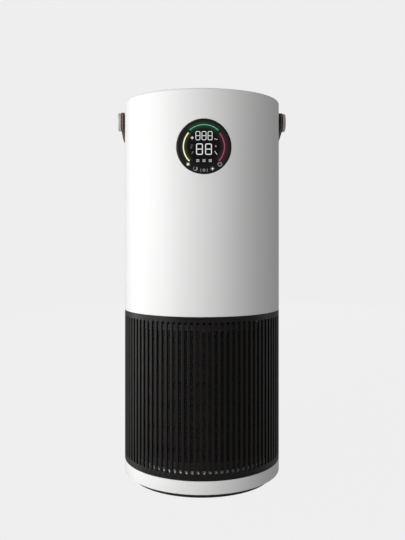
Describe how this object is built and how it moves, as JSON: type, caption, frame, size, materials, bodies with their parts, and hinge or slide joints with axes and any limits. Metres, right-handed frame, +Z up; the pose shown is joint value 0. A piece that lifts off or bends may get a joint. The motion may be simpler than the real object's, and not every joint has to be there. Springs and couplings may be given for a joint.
{
  "type": "air purifier",
  "caption": "Upright cylindrical room air purifier: slotted intake round the lower half, air outlet in the top, round display, swinging strap handle and turn-off base.",
  "frame": {"origin": "on the cylinder's axis, in the plane of the foot ring's underside (the floor)", "axes": "+Z up along the cylinder's axis, -Y towards the front with the display, +X to the viewer's right"},
  "size_m": [0.2286, 0.2222, 0.504],
  "materials": {
    "white_shell": "satin moulded white",
    "black_plastic": "fine-grained black",
    "foot_rubber": "matt",
    "display_window": "high gloss",
    "dark_plastic": "satin",
    "light_box": "matt",
    "circuit_board": "solder mask",
    "brass": "turned",
    "screw_steel": "zinc plated",
    "ribbon_cable": "matt",
    "strap_leather": "grained brown",
    "bronze_metal": "satin",
    "washer_rubber": "matt",
    "duct_plastic": "moulded grey",
    "deck_plastic": "moulded dark grey",
    "impeller_plastic": "moulded white",
    "motor_aluminium": "die cast",
    "bearing_steel": "ground",
    "mount_rubber": "matt",
    "laminated_iron": "laminated",
    "copper_wire": "enamelled copper",
    "chip_plastic": "matt",
    "bracket_plastic": "matt",
    "mesh_fabric": "nylon net",
    "filter_paper": "pleated",
    "carbon_felt": "granular",
    "pull_ribbon": "woven"
  },
  "bodies": {
    "housing": {"upper_shell": "white_shell", "intake_grille": "black_plastic", "grille_hoops": "black_plastic", "display_lens": "display_window", "display_frame": "dark_plastic", "light_guide": "light_box", "display_board": "circuit_board", "touch_springs": "brass", "display_screws": "screw_steel", "display_cable": "ribbon_cable", "pivot_screws": "bronze_metal", "pivot_washers": "washer_rubber", "pivot_nuts": "brass", "outlet_grille": "black_plastic", "outlet_cap": "black_plastic", "outlet_duct": "duct_plastic", "fan_deck": "deck_plastic", "deck_screws": "screw_steel", "fan_guard": "black_plastic", "fan_housing": "duct_plastic", "motor_cover": "duct_plastic", "motor_case": "motor_aluminium", "motor_bearings": "bearing_steel", "motor_mounts": "mount_rubber", "motor_screws": "screw_steel", "stator_core": "laminated_iron", "stator_windings": "copper_wire", "power_board": "circuit_board", "board_parts": "chip_plastic", "board_bracket": "bracket_plastic", "board_screws": "screw_steel", "power_inlet": "dark_plastic", "inlet_pins": "screw_steel", "dust_sensor": "dark_plastic", "sensor_cover": "black_plastic", "filter_prefilter": "mesh_fabric", "filter_media": "filter_paper", "filter_carbon": "carbon_felt", "filter_cap_top": "dark_plastic", "filter_cap_bottom": "dark_plastic", "filter_gasket": "mount_rubber", "filter_pull_tab": "pull_ribbon"},
    "base": {"base_cover": "white_shell", "base_plate": "black_plastic", "foot_ring": "foot_rubber", "base_screws": "screw_steel"},
    "handle": {"handle_strap": "strap_leather", "strap_eyelets": "brass"},
    "rotor": {"motor_shaft": "bearing_steel", "rotor_magnets": "laminated_iron", "impeller": "impeller_plastic", "impeller_nut": "brass"}
  },
  "joints": [
    {"name": "handle_swing", "type": "hinge", "parent": "housing", "child": "handle", "pos_m": [0, 0, 0.4787], "axis": [1, 0, 0], "range_deg": [0, 214]},
    {"name": "fan_spin", "type": "hinge", "parent": "housing", "child": "rotor", "pos_m": [0, 0, 0.26], "axis": [0, 0, 1], "continuous": true},
    {"name": "base_twist", "type": "hinge", "parent": "housing", "child": "base", "pos_m": [0, 0, 0], "axis": [0, 0, -1], "range_deg": [0, 20]}
  ]
}
